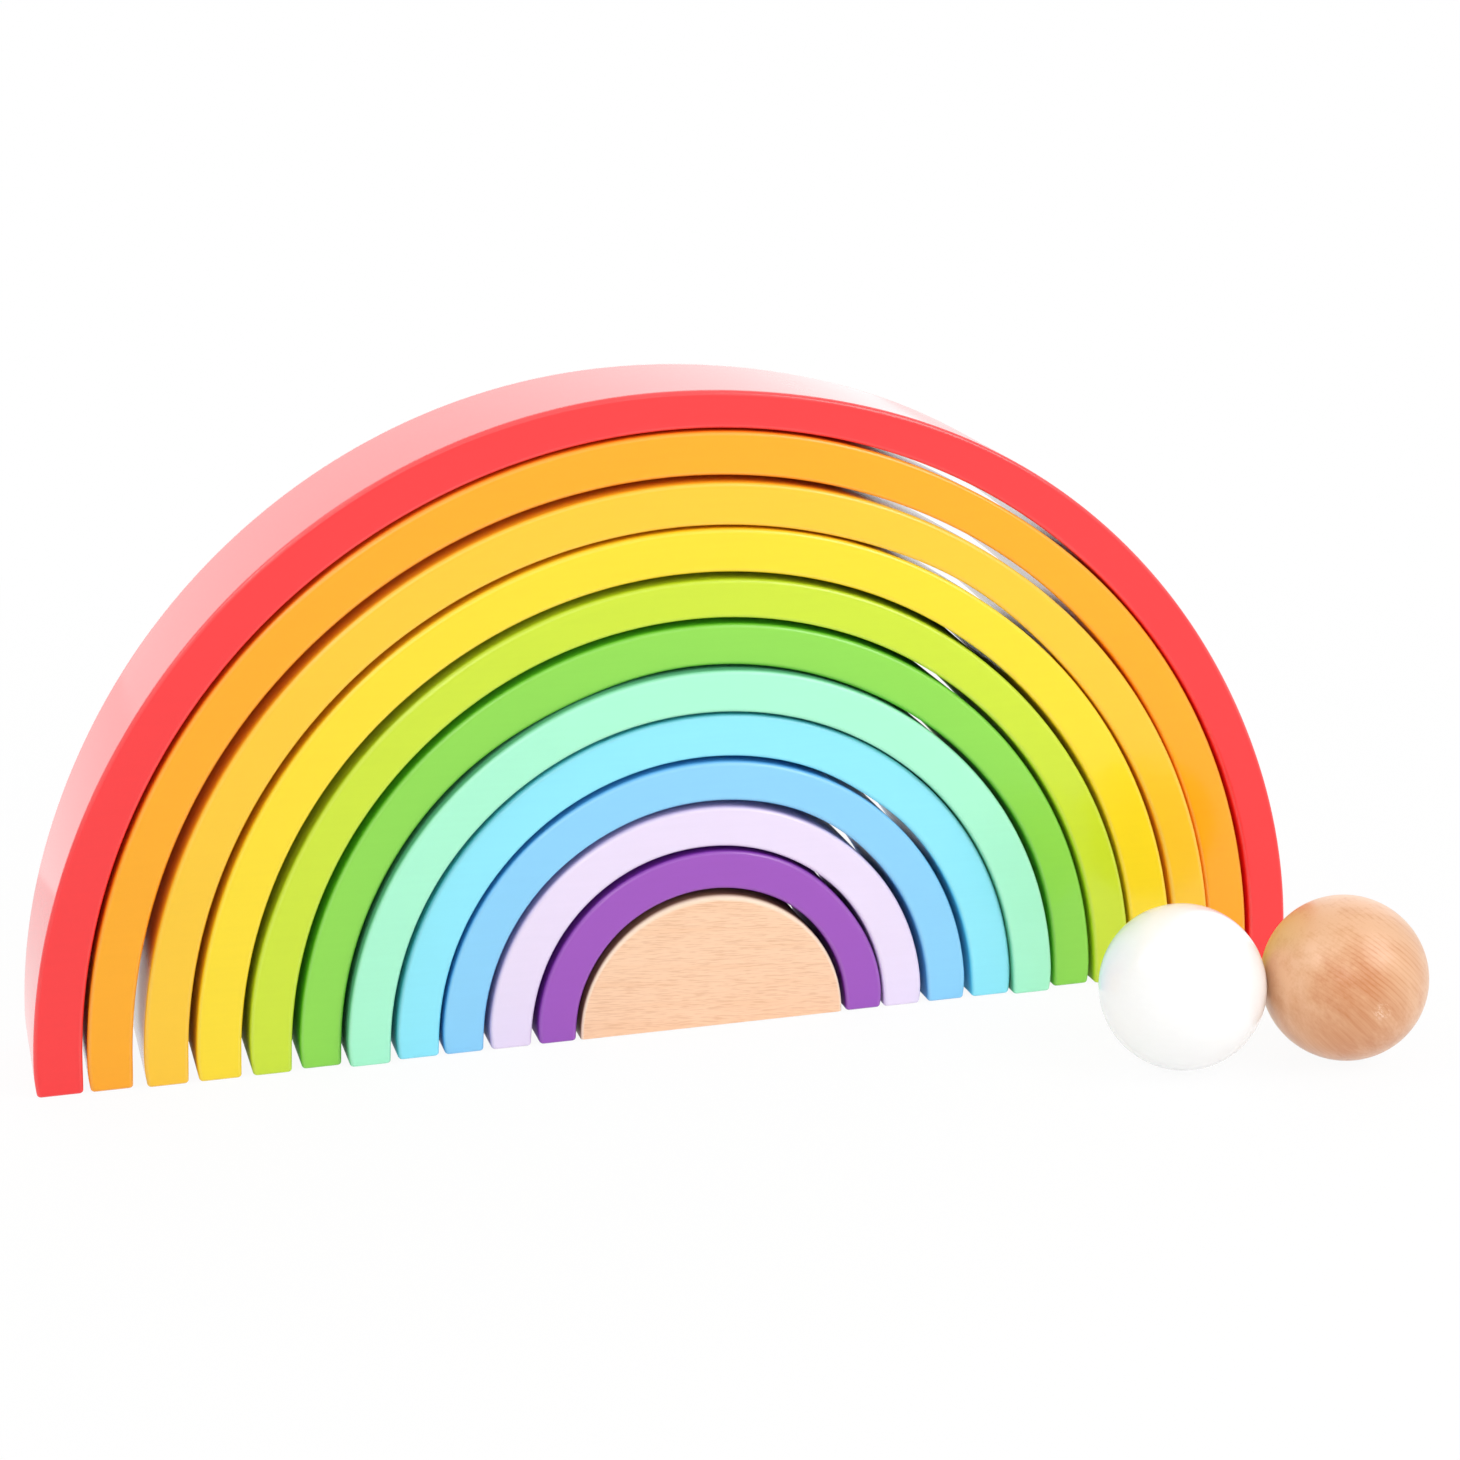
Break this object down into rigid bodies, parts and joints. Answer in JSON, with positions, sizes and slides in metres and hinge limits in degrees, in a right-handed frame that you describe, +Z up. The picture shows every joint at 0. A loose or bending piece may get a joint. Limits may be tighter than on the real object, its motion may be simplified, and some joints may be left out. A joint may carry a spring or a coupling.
{
  "type": "nesting wooden rainbow blocks",
  "caption": "Half-round wooden block with painted half-ring arches nested over it like a rainbow, and turned wooden balls in front; a loose stacking and sorting toy.",
  "frame": {"origin": "middle of the half-round block's flat underside, on the table that every piece stands on", "axes": "+X to the right along the line of the feet, +Y from the front faces to the back faces through the arches, +Z up"},
  "size_m": [0.3668, 0.1365, 0.1815],
  "materials": {
    "beech": "smooth sanded beech, lightly oiled",
    "paint_purple": "satin purple paint on wood",
    "paint_lilac": "satin pale lilac paint on wood",
    "paint_blue": "satin blue paint on wood",
    "paint_sky": "satin sky blue paint on wood",
    "paint_mint": "satin mint paint on wood",
    "paint_green": "satin green paint on wood",
    "paint_lime": "satin lime paint on wood",
    "paint_yellow": "satin yellow paint on wood",
    "paint_amber": "satin amber paint on wood",
    "paint_orange": "satin orange paint on wood",
    "paint_red": "satin red paint on wood",
    "paint_white": "satin white paint on wood"
  },
  "bodies": {
    "core": {"core_block": "beech"},
    "purple": {"purple_arch": "paint_purple"},
    "lilac": {"lilac_arch": "paint_lilac"},
    "blue": {"blue_arch": "paint_blue"},
    "sky": {"sky_arch": "paint_sky"},
    "mint": {"mint_arch": "paint_mint"},
    "green": {"green_arch": "paint_green"},
    "lime": {"lime_arch": "paint_lime"},
    "yellow": {"yellow_arch": "paint_yellow"},
    "amber": {"amber_arch": "paint_amber"},
    "orange": {"orange_arch": "paint_orange"},
    "red": {"red_arch": "paint_red"},
    "white_ball": {"white_ball": "paint_white"},
    "natural_ball": {"natural_ball": "beech"}
  },
  "joints": [
    {"name": "purple_slide", "type": "slide", "parent": "core", "child": "purple", "axis": [0, 1, 0], "range_m": [-0.05, 0.05]},
    {"name": "lilac_slide", "type": "slide", "parent": "core", "child": "lilac", "axis": [0, 1, 0], "range_m": [-0.05, 0.05]},
    {"name": "blue_slide", "type": "slide", "parent": "core", "child": "blue", "axis": [0, 1, 0], "range_m": [-0.05, 0.05]},
    {"name": "sky_slide", "type": "slide", "parent": "core", "child": "sky", "axis": [0, 1, 0], "range_m": [-0.05, 0.05]},
    {"name": "mint_slide", "type": "slide", "parent": "core", "child": "mint", "axis": [0, 1, 0], "range_m": [-0.036, 0.05]},
    {"name": "green_slide", "type": "slide", "parent": "core", "child": "green", "axis": [0, 1, 0], "range_m": [-0.036, 0.05]},
    {"name": "lime_slide", "type": "slide", "parent": "core", "child": "lime", "axis": [0, 1, 0], "range_m": [-0.036, 0.05]},
    {"name": "yellow_slide", "type": "slide", "parent": "core", "child": "yellow", "axis": [0, 1, 0], "range_m": [-0.036, 0.05]},
    {"name": "amber_slide", "type": "slide", "parent": "core", "child": "amber", "axis": [0, 1, 0], "range_m": [-0.036, 0.05]},
    {"name": "orange_slide", "type": "slide", "parent": "core", "child": "orange", "axis": [0, 1, 0], "range_m": [-0.036, 0.05]},
    {"name": "red_slide", "type": "slide", "parent": "core", "child": "red", "axis": [0, 1, 0], "range_m": [-0.036, 0.05]},
    {"name": "white_ball_roll", "type": "slide", "parent": "core", "child": "white_ball", "axis": [-0.134, -0.991, 0], "range_m": [0, 0.15]},
    {"name": "natural_ball_roll", "type": "slide", "parent": "core", "child": "natural_ball", "axis": [1, 0, 0], "range_m": [0, 0.15]}
  ]
}
